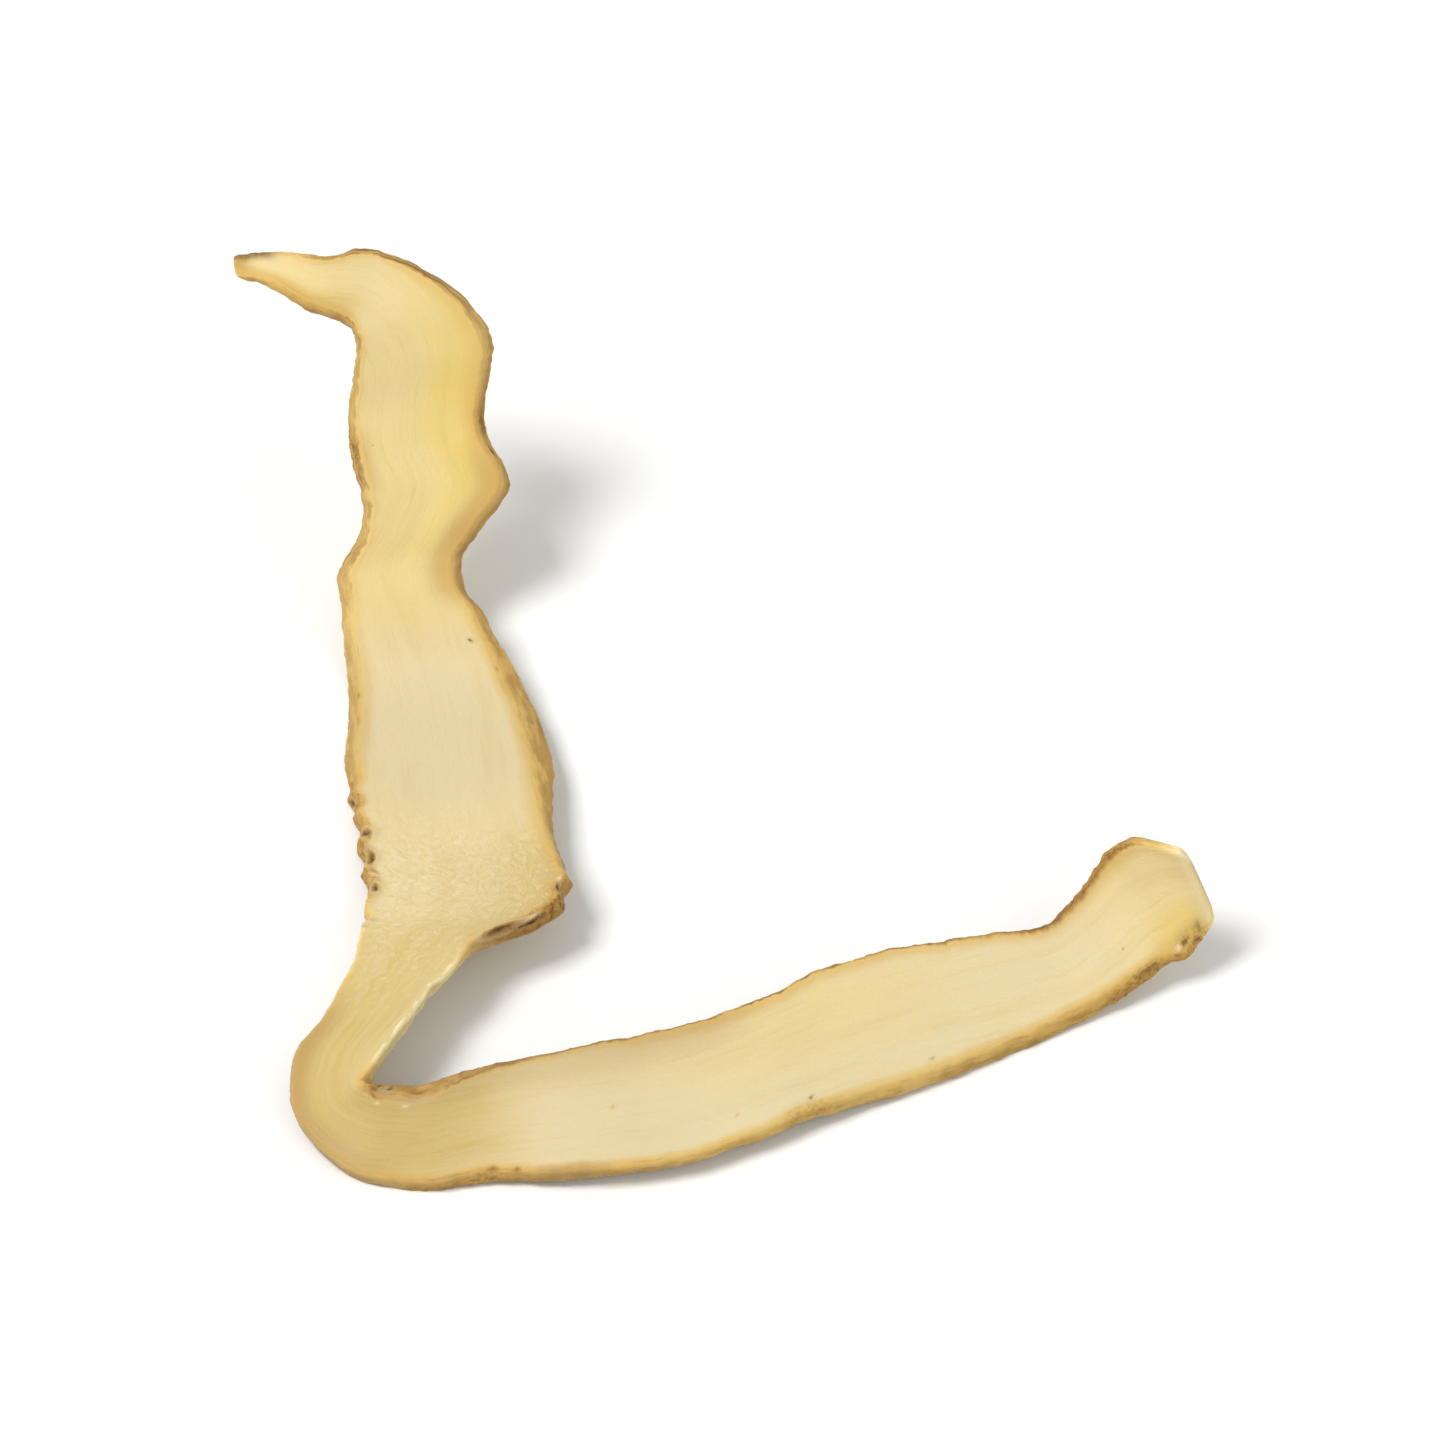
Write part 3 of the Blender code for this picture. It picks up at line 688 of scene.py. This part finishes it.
def face_relief(strip, point, distance, sideways, depth, zones):
    """Rim lip, furrows, grain and crust of a cut face at a point, outwards."""
    seed = 0.0 if strip == "upper" else LOWER_FACE_SEED
    lip = RIM_LIP * hump((depth - RIM_LIP_PLACE) / RIM_LIP_WIDTH)
    furrows = face_noise(distance, sideways, FURROW_SPACING, seed)
    waves = face_noise(distance, sideways, WAVE_SPACING, seed + WAVE_SEED)
    grain = GRAIN_RELIEF * zones["grain"] * noise.noise(point / GRAIN_SPACING)
    lumps = noise.noise(point / CRUST_SPACING)
    relief = lip + SHRINK_RELIEF * (FURROW_SHARE * furrows + WAVE_SHARE * waves) + grain
    return relief + CRUST_RELIEF * zones["crust"] * lumps


def fine_relief(strip, point, distance, sideways, depth, zones):
    """Fine relief of the surface at a point, outwards."""
    if strip in ("inner", "outer"):
        return skin_relief(point, distance, sideways, depth, zones["crust"])
    return face_relief(strip, point, distance, sideways, depth, zones)


def ring_frame(distance):
    """Middle, directions and half width at a distance along the slice."""
    held = min(max(distance, 0.0), LENGTH)
    outer = curve_point(OUTER, DISTANCES, held)
    inner = curve_point(INNER, DISTANCES, held)
    across = (inner - outer).normalized()
    outer -= across * edge_offset("outer", held)
    inner += across * edge_offset("inner", held)
    low, high = max(held - SLOPE_REACH, 0.0), min(held + SLOPE_REACH, LENGTH)
    slope_outer = curve_point(OUTER, DISTANCES, high) - curve_point(OUTER, DISTANCES, low)
    slope_inner = curve_point(INNER, DISTANCES, high) - curve_point(INNER, DISTANCES, low)
    along = (slope_outer + slope_inner).normalized()
    normal = along.cross(across).normalized()
    middle = (outer + inner) / 2 + along * (distance - held)
    return middle, across, normal, (inner - outer).length / 2


def ring_plan():
    """Distance along the slice and scale of the section, for each ring."""
    steps = round(LENGTH / RING_SPACING)
    plan = [(-reach, scale) for reach, scale in reversed(ROUNDED_END)]
    plan += [(LENGTH * step / steps, 1.0) for step in range(steps + 1)]
    plan += [(LENGTH + reach, scale) for reach, scale in ROUNDED_END]
    return plan


def ring_points(distance, scale):
    """Points of one ring, and what the materials read at each."""
    middle, across, normal, half_width = ring_frame(distance)
    held = min(max(distance, 0.0), LENGTH)
    section = section_points(half_width * scale, thickness_at(distance) * scale,
                             skin_slope("inner", held) * scale, skin_slope("outer", held) * scale)
    near = marks_near(distance)
    cut_edge = hump((LENGTH - distance) / CUT_LIP_WIDTH)
    looks = {edge: between_places(SKIN_LOOKS[edge], held) for edge in SKIN_LOOKS}
    points, facts = [], []
    for sideways, up, outwards, strip, depth, run in section:
        share = sideways / half_width
        point = middle + across * sideways + normal * (up + CUP_DEPTH * share**2)
        point += normal * FACE_RELIEF * noise.noise(point / FACE_RELIEF_SPACING)
        zones = zone_strengths(distance, share)
        relief = fine_relief(strip, point, distance, sideways, depth, zones)
        side = "inner" if sideways > 0.0 else "outer"
        place = depth if strip == "upper" else -run
        height, tones = marked(near if strip != "lower" else (), side, place)
        if strip in ("upper", "inner"):
            tones["light"] = max(tones["light"], CUT_EDGE_LIGHT * cut_edge * (1.0 - zones["crust"]))
        point += (across * outwards.x + normal * outwards.y) * ((relief + height) * scale)
        points.append(point)
        facts.append({"distance": distance, "sideways": sideways, "strip": strip, "depth": depth,
                      "run": run, "zones": zones, "tones": tones, "looks": looks[side]})
    return points, facts


def laid_down(points):
    """The points moved over the origin and pressed flat at the surface, as the solid is."""
    middle_x = (min(p.x for p in points) + max(p.x for p in points)) / 2
    middle_y = (min(p.y for p in points) + max(p.y for p in points)) / 2
    lowest = min(p.z for p in points)
    shift = Vector((-middle_x, -middle_y, -lowest - PRESSED_DEPTH))
    moved = [p + shift for p in points]
    return [Vector((min(max(p.x, CAD_LOW.x), CAD_HIGH.x), min(max(p.y, CAD_LOW.y), CAD_HIGH.y),
                    min(max(p.z, 0.0), CAD_HIGH.z))) for p in moved]


def loft_faces(ring_count, count):
    """Quads between the rings, and one face over each end."""
    faces = []
    for ring in range(ring_count - 1):
        here, following = ring * count, (ring + 1) * count
        for k in range(count):
            after = (k + 1) % count
            faces.append((here + k, here + after, following + after, following + k))
    last = (ring_count - 1) * count
    faces.append(tuple(reversed(range(count))))
    faces.append(tuple(last + k for k in range(count)))
    return faces


def add_attribute(mesh, name, values):
    """A value for each point, which the material reads by its name."""
    attribute = mesh.attributes.new(name, "FLOAT", "POINT")
    attribute.data.foreach_set("value", values)


def sheet_place(fact, strip, second_half):
    """Place of a point on the unrolled surface, in millimetres."""
    along = fact["distance"] / MM
    across = STRIP_PLACES[strip]
    if strip in ("upper", "lower"):
        across += fact["sideways"] / MM
    elif fact["strip"] in ("inner", "outer"):
        across += fact["run"] / MM
    if second_half:
        return across + SHEET_HALF_WIDTH, along - LENGTH / MM / 2 + SHEET_MARGIN
    return across, along + SHEET_MARGIN


def end_face_place(fact, second_half):
    """Place of a point of an end face on the unrolled surface, in millimetres."""
    across = STRIP_PLACES["end" if second_half else "tip"] + fact["run"] / MM / 2
    return across, END_FACE_HEIGHT + fact["sideways"] / MM


def face_strip_name(names):
    """The strip that a face of these points' strips belongs to."""
    for name in ("inner", "outer"):
        if all(n == name for n in names):
            return name
    return "upper" if "upper" in names else "lower"


def unroll(mesh, facts):
    """Lays the surface out as flat strips, in two halves side by side."""
    layer = mesh.uv_layers.new(name="OFBake")
    size = 2 * SHEET_HALF_WIDTH
    for polygon in mesh.polygons:
        corners = [facts[v] for v in polygon.vertices]
        second_half = min(fact["distance"] for fact in corners) > LENGTH / 2
        if len(corners) > 4:
            places = [end_face_place(fact, second_half) for fact in corners]
        else:
            strip = face_strip_name([fact["strip"] for fact in corners])
            places = [sheet_place(fact, strip, second_half) for fact in corners]
        for loop, (across, along) in zip(polygon.loop_indices, places):
            layer.data[loop].uv = (across / size, along / size)


def slice_mesh():
    """The closed loft, with the values that the material reads and its unrolled sheet."""
    points, facts = [], []
    plan = ring_plan()
    for distance, scale in plan:
        more_points, more_facts = ring_points(distance, scale)
        points += more_points
        facts += more_facts
    count = len(points) // len(plan)
    mesh = bpy.data.meshes.new("rhizome_slice")
    mesh.from_pydata(laid_down(points), [], loft_faces(len(plan), count))
    add_attribute(mesh, "along_mm", [fact["distance"] / MM for fact in facts])
    add_attribute(mesh, "across_mm", [fact["sideways"] / MM for fact in facts])
    add_attribute(mesh, "depth_mm", [fact["depth"] / MM for fact in facts])
    add_attribute(mesh, "run_mm", [fact["run"] / MM for fact in facts])
    add_attribute(mesh, "lower", [1.0 if fact["strip"] == "lower" else 0.0 for fact in facts])
    for kind in ZONES:
        add_attribute(mesh, kind, [fact["zones"][kind] for fact in facts])
    for tone in MARK_TONES:
        add_attribute(mesh, "mark_" + tone, [fact["tones"][tone] for fact in facts])
    for place, name in enumerate(LOOK_NAMES):
        add_attribute(mesh, name, [fact["looks"][place] for fact in facts])
    unroll(mesh, facts)
    mesh.shade_smooth()
    return mesh


class Nodes:
    """Short ways to add the nodes of one material."""

    def __init__(self, material):
        material.use_nodes = True
        self.tree = material.node_tree
        self.shader = self.tree.nodes["Principled BSDF"]

    def feed(self, socket, value):
        """Links another node's output to a socket, or sets the socket's own value."""
        if isinstance(value, bpy.types.NodeSocket):
            self.tree.links.new(value, socket)
        else:
            socket.default_value = value

    def add(self, kind, inputs, output=0, **settings):
        node = self.tree.nodes.new(kind)
        for name, value in settings.items():
            setattr(node, name, value)
        for name, value in inputs.items():
            self.feed(node.inputs[name], value)
        return node.outputs[output]

    def attribute(self, name):
        return self.add("ShaderNodeAttribute", {}, "Fac", attribute_name=name)

    def math(self, operation, first, second=0.0):
        return self.add("ShaderNodeMath", {0: first, 1: second}, operation=operation)

    def product(self, first, *others):
        for other in others:
            first = self.math("MULTIPLY", first, other)
        return first

    def smooth(self, value, low, high, to_low=0.0, to_high=1.0):
        """A smooth step from to_low at low to to_high at high."""
        limits = {"Value": value, "From Min": low, "From Max": high, "To Min": to_low, "To Max": to_high}
        return self.add("ShaderNodeMapRange", limits, interpolation_type="SMOOTHSTEP")

    def vector(self, x, y, z):
        return self.add("ShaderNodeCombineXYZ", {"X": x, "Y": y, "Z": z})

    def noise(self, vector, scale=1.0, detail=2.0, roughness=0.5):
        inputs = {"Vector": vector, "Scale": scale, "Detail": detail, "Roughness": roughness}
        return self.add("ShaderNodeTexNoise", inputs, "Fac")

    def mix(self, factor, first, second):
        """A colour between two others; the node's colour sockets are found by number."""
        node = self.tree.nodes.new("ShaderNodeMix")
        node.data_type = "RGBA"
        self.feed(node.inputs[0], factor)
        self.feed(node.inputs[6], first)
        self.feed(node.inputs[7], second)
        return node.outputs[2]


class Surface:
    """The values that the slice's material reads off the mesh, and the noises made from them."""

    def __init__(self, nodes):
        self.along = nodes.attribute("along_mm")
        self.across = nodes.attribute("across_mm")
        self.depth = nodes.attribute("depth_mm")
        self.run = nodes.attribute("run_mm")
        self.lower = nodes.attribute("lower")
        self.zone = {kind: nodes.attribute(kind) for kind in ZONES}
        self.mark = {tone: nodes.attribute("mark_" + tone) for tone in MARK_TONES}
        self.tone, self.rim_line, self.margin = [nodes.attribute(name) for name in LOOK_NAMES]
        aside = nodes.math("ADD", nodes.product(self.lower, LOWER_SPOT_SHIFT), self.run)
        self.spot = nodes.vector(self.along, self.across, aside)
        swirl = nodes.math("SUBTRACT", nodes.noise(self.spot, SWIRL_SCALE), 0.5)
        swing = nodes.product(swirl, self.zone["grain"], SWIRL_WIDTH)
        self.warped = nodes.math("ADD", self.across, swing)
        self.fibres = nodes.noise(self.stretched(nodes, 0.16, 2.6), detail=4.0, roughness=0.6)
        self.fine_fibres = nodes.noise(self.stretched(nodes, 0.5, 7.0), detail=3.0, roughness=0.6)
        self.bands = nodes.noise(self.stretched(nodes, 0.05, 0.5))
        self.mottle = nodes.noise(self.spot, scale=0.30, detail=3.0, roughness=0.55)
        self.grain = nodes.noise(self.stretched(nodes, 1.7, 3.0), detail=3.0, roughness=0.55)
        self.fine_grain = nodes.noise(self.spot, scale=9.0, detail=2.0, roughness=0.6)
        self.crust_grain = nodes.noise(self.spot, scale=3.2, detail=3.0, roughness=0.7)
        ragged_spot = nodes.vector(self.along, nodes.product(self.across, 0.3), self.lower)
        self.ragged = nodes.noise(ragged_spot, scale=1.3, detail=3.0, roughness=0.6)

    def stretched(self, nodes, along_scale, across_scale):
        """A place on the surface, stretched along the fibres."""
        return nodes.vector(nodes.product(self.along, along_scale),
                            nodes.product(self.warped, across_scale),
                            nodes.product(self.lower, LOWER_FIBRE_SHIFT))

    def on_skin(self, nodes, along_scale, run_scale):
        """A place on the skin, with one scale along it and another down it."""
        return nodes.vector(nodes.product(self.along, along_scale),
                            nodes.product(self.run, run_scale), self.across)


def cut_face_colour(nodes, at):
    """Cream flesh with yellow and amber zones, fibres that run along the slice, and the node's grain."""
    yellow = nodes.product(at.zone["yellow"], nodes.smooth(at.mottle, 0.25, 0.75, 0.75, 1.15))
    bands = nodes.smooth(at.bands, 0.42, 0.75, 0.0, 0.20)
    amber = nodes.product(nodes.math("ADD", at.zone["amber"], bands),
                          nodes.smooth(at.fibres, 0.35, 0.75, 0.80, 1.15))
    pale = nodes.product(at.zone["pale"], nodes.smooth(at.mottle, 0.3, 0.6, 0.8, 1.0))
    plain = nodes.smooth(at.zone["grain"], 0.0, 1.0, 1.0, 0.15)
    calm = nodes.product(plain, nodes.smooth(at.zone["amber"], 0.0, 1.0, 1.0, 0.55))
    colour = nodes.mix(pale, CREAM, PALE)
    colour = nodes.mix(yellow, colour, YELLOW)
    colour = nodes.mix(amber, colour, AMBER)
    streaks = nodes.product(nodes.smooth(at.fibres, 0.52, 0.80, 0.0, 0.30), plain)
    colour = nodes.mix(streaks, colour, AMBER)
    light_streaks = nodes.product(nodes.smooth(at.fine_fibres, 0.52, 0.80, 0.0, 0.24), calm)
    colour = nodes.mix(light_streaks, colour, FLECK)
    # Tan zones: partly the slice's own tan, partly painted shade along edges that roll away from the
    # light
    colour = nodes.mix(at.zone["tan_and_shade"], colour, TAN)
    flecks = nodes.product(nodes.smooth(at.grain, 0.50, 0.70), at.zone["grain"], 0.50)
    colour = nodes.mix(flecks, colour, FLECK)
    gaps = nodes.product(nodes.smooth(at.grain, 0.50, 0.30), at.zone["grain"], 0.35)
    return nodes.mix(gaps, colour, AMBER)


def with_specks(nodes, at, colour):
    """Tiny brown specks and pores, scattered over the cut face."""
    specks = nodes.tree.nodes.new("ShaderNodeTexVoronoi")
    nodes.feed(specks.inputs["Vector"], at.spot)
    specks.inputs["Scale"].default_value = SPECK_SCALE
    chance = nodes.add("ShaderNodeSeparateColor", {"Color": specks.outputs["Color"]}, "Red")
    chosen = nodes.math("GREATER_THAN", chance, SPECK_FREE_SHARE)
    near = nodes.smooth(specks.outputs["Distance"], SPECK_RADIUS, SPECK_CORE)
    return nodes.mix(nodes.product(near, chosen, SPECK_STRENGTH), colour, BROWN)


def skin_colour(nodes, at):
    """The skin: flesh-coloured or ochre at the rim, tan further down, with fine brown wrinkles."""
    wide = nodes.noise(at.on_skin(nodes, 0.5, 1.2), detail=3.0, roughness=0.6)
    lines = nodes.noise(at.on_skin(nodes, 0.7, 5.5), detail=4.0, roughness=0.65)
    colour = nodes.mix(at.tone, FLESH_EDGE, OCHRE)
    deep = nodes.product(nodes.smooth(at.run, 0.15, 0.70), nodes.smooth(wide, 0.35, 0.60, 0.35, 1.0),
                         at.tone)
    colour = nodes.mix(deep, colour, TAN)
    wrinkles = nodes.product(nodes.smooth(lines, 0.52, 0.72, 0.0, 0.55), at.tone)
    colour = nodes.mix(wrinkles, colour, BROWN)
    low_line = nodes.product(nodes.smooth(at.run, 0.50, 1.00), nodes.smooth(wide, 0.40, 0.55, 0.15, 0.55),
                             at.tone)
    colour = nodes.mix(low_line, colour, BROWN)
    dots = nodes.product(nodes.smooth(at.crust_grain, 0.63, 0.72), nodes.smooth(wide, 0.45, 0.6),
                         at.tone, 0.7)
    return nodes.mix(dots, colour, BROWN)


def brown_line(nodes, at, edge):
    """Strength of the broken brown line on the rim, which a stronger one makes wider and whole."""
    patchy = nodes.vector(nodes.product(at.along, 0.6), nodes.product(at.across, 0.4),
                          nodes.product(at.run, 2.2))
    broken = nodes.noise(patchy, detail=4.0, roughness=0.65)
    low_end = nodes.smooth(broken, 0.35, 0.65, -0.60, -1.50)
    high_end = nodes.smooth(at.rim_line, 0.9, 2.0, 0.02, 0.42)
    line = nodes.product(nodes.smooth(edge, high_end, -0.14), nodes.smooth(edge, low_end, -0.40))
    worn = nodes.smooth(at.rim_line, 0.9, 2.0, 0.25, 0.75)
    whole = nodes.smooth(broken, 0.38, 0.56, worn, 0.95)
    return nodes.product(line, whole, nodes.smooth(at.rim_line, 0.0, 1.0))


def with_skin(nodes, at, colour):
    """The skin beyond the rim, the golden margin of painted shade inside it, and the brown or pale line
    on it, the pale one partly painted light.
    """
    edge = nodes.math("ADD", at.depth, nodes.smooth(at.ragged, 0.3, 0.7, -0.09, 0.09))
    # Painted shade: the cut face turns ochre towards a rim where its edge rolls away from the light
    margin = nodes.product(nodes.smooth(at.depth, at.margin, 0.0),
                           nodes.smooth(at.tone, 0.0, 1.0, 0.15, 0.80))
    colour = nodes.mix(margin, colour, OCHRE)
    colour = nodes.mix(nodes.smooth(edge, 0.10, -0.16), colour, skin_colour(nodes, at))
    # The darkest, widest line, at the flared end, is partly painted shadow
    rim_brown = nodes.mix(nodes.smooth(at.rim_line, 1.0, 2.0, 0.0, 0.35), BROWN, DARK_BROWN)
    colour = nodes.mix(brown_line(nodes, at, edge), colour, rim_brown)
    # Pale line on the rim: the lip's own whitish colour, brightened as painted light where the rim faces
    # away from the lamps
    pale = nodes.product(nodes.smooth(edge, 0.02, -0.14), nodes.smooth(edge, -0.60, -0.35),
                         nodes.smooth(at.rim_line, 0.0, -0.8))
    return nodes.mix(pale, colour, PALE_LIP_AND_LIGHT)


def with_marks(nodes, at, colour):
    """Painted shade in umber, crust of the root scars, the dark tip, and the small marks with their
    halos.
    """
    # Painted shade: the umber zones darken the colour where the surface turns from the light
    colour = nodes.mix(at.zone["painted_shade"], colour, SHADE_UMBER)
    crust = nodes.product(at.zone["crust"], nodes.smooth(at.crust_grain, 0.34, 0.55, 0.35, 1.0))
    rough = nodes.mix(nodes.smooth(at.crust_grain, 0.46, 0.62), TAN, BROWN)
    rough = nodes.mix(nodes.smooth(at.crust_grain, 0.62, 0.74), rough, DARK_BROWN)
    colour = nodes.mix(crust, colour, rough)
    tip = nodes.product(at.zone["tip"], nodes.smooth(at.mottle, 0.3, 0.6, 0.75, 1.1))
    colour = nodes.mix(tip, colour, TIP_BROWN)
    for tone, strength, mark_colour in MARK_COLOURS:
        colour = nodes.mix(nodes.product(at.mark[tone], strength), colour, mark_colour)
    dark = nodes.product(at.mark["dark"], nodes.smooth(at.crust_grain, 0.3, 0.6, 0.7, 1.2))
    return nodes.mix(dark, colour, DARK_BROWN)


def fine_bump(nodes, at):
    """The finest relief, which only bends the light."""
    height = nodes.product(at.fibres, 0.6)
    for value, weight in (
        (at.fine_fibres, 0.3),
        (at.fine_grain, 0.35),
        (nodes.product(at.grain, at.zone["grain"]), 1.4),
        (nodes.product(at.crust_grain, at.zone["crust"]), 2.5),
    ):
        height = nodes.math("ADD", height, nodes.product(value, weight))
    return nodes.add("ShaderNodeBump", {"Height": height, "Distance": BUMP_HEIGHT, "Strength": 1.0})


def slice_material():
    """Flesh, skin and marks, with a waxier gloss where the flesh is amber."""
    material = bpy.data.materials.new("dried_rhizome_finish")
    nodes = Nodes(material)
    at = Surface(nodes)
    colour = cut_face_colour(nodes, at)
    colour = with_specks(nodes, at, colour)
    colour = with_skin(nodes, at, colour)
    colour = with_marks(nodes, at, colour)
    nodes.feed(nodes.shader.inputs["Base Color"], colour)
    waxy = nodes.math("ADD", at.zone["amber"], at.mottle)
    roughness = nodes.smooth(waxy, 0.3, 1.4, DULL_ROUGHNESS, WAXY_ROUGHNESS)
    nodes.feed(nodes.shader.inputs["Roughness"], roughness)
    nodes.feed(nodes.shader.inputs["Normal"], fine_bump(nodes, at))
    nodes.shader.inputs["Specular IOR Level"].default_value = SLICE_SPECULAR
    nodes.shader.inputs["Subsurface Weight"].default_value = SUBSURFACE_SHARE
    nodes.shader.inputs["Subsurface Radius"].default_value = SUBSURFACE_COLOURS
    nodes.shader.inputs["Subsurface Scale"].default_value = SUBSURFACE_DEPTH
    return material


def add_slice():
    mesh = slice_mesh()
    mesh.materials.append(slice_material())
    piece = bpy.data.objects.new("rhizome_slice", mesh)
    bpy.context.scene.collection.objects.link(piece)
    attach(piece, "root")
    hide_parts("slice")


def add_camera():
    data = bpy.data.cameras.new("camera")
    data.sensor_width = SENSOR_WIDTH
    data.lens = SENSOR_WIDTH * CAMERA_DISTANCE / SEEN_WIDTH
    data.clip_start = NEAREST_SEEN
    camera = bpy.data.objects.new("camera", data)
    back = Vector((0.0, -math.cos(CAMERA_ELEVATION), math.sin(CAMERA_ELEVATION)))
    camera.location = CAMERA_AIM + back * CAMERA_DISTANCE
    camera.rotation_euler = (math.pi / 2 - CAMERA_ELEVATION, 0.0, 0.0)
    bpy.context.scene.collection.objects.link(camera)
    bpy.context.scene.camera = camera


def add_floor():
    bpy.ops.mesh.primitive_plane_add(size=FLOOR_SIZE)
    floor = bpy.context.object
    floor.name = "floor"
    material = bpy.data.materials.new("floor")
    material.use_nodes = True
    shader = material.node_tree.nodes["Principled BSDF"]
    shader.inputs["Base Color"].default_value = FLOOR_WHITE
    shader.inputs["Roughness"].default_value = FLOOR_ROUGHNESS
    shader.inputs["Specular IOR Level"].default_value = FLOOR_SPECULAR
    floor.data.materials.append(material)


def add_area_light(name, place, size, power):
    """A soft square light, aimed at the slice."""
    data = bpy.data.lights.new(name, "AREA")
    data.size = size
    data.energy = power
    light = bpy.data.objects.new(name, data)
    light.location = place
    light.rotation_euler = (CAMERA_AIM - Vector(place)).to_track_quat("-Z", "Y").to_euler()
    bpy.context.scene.collection.objects.link(light)


def add_light():
    world = bpy.data.worlds.new("studio")
    world.use_nodes = True
    background = world.node_tree.nodes["Background"]
    background.inputs["Color"].default_value = WORLD_WHITE
    background.inputs["Strength"].default_value = WORLD_STRENGTH
    bpy.context.scene.world = world
    for name, place, size, power in LIGHTS:
        add_area_light(name, place, size, power)
    bpy.context.scene.view_settings.view_transform = "Standard"


add_camera()
add_slice()
add_floor()
add_light()

bpy.context.view_layer.update()
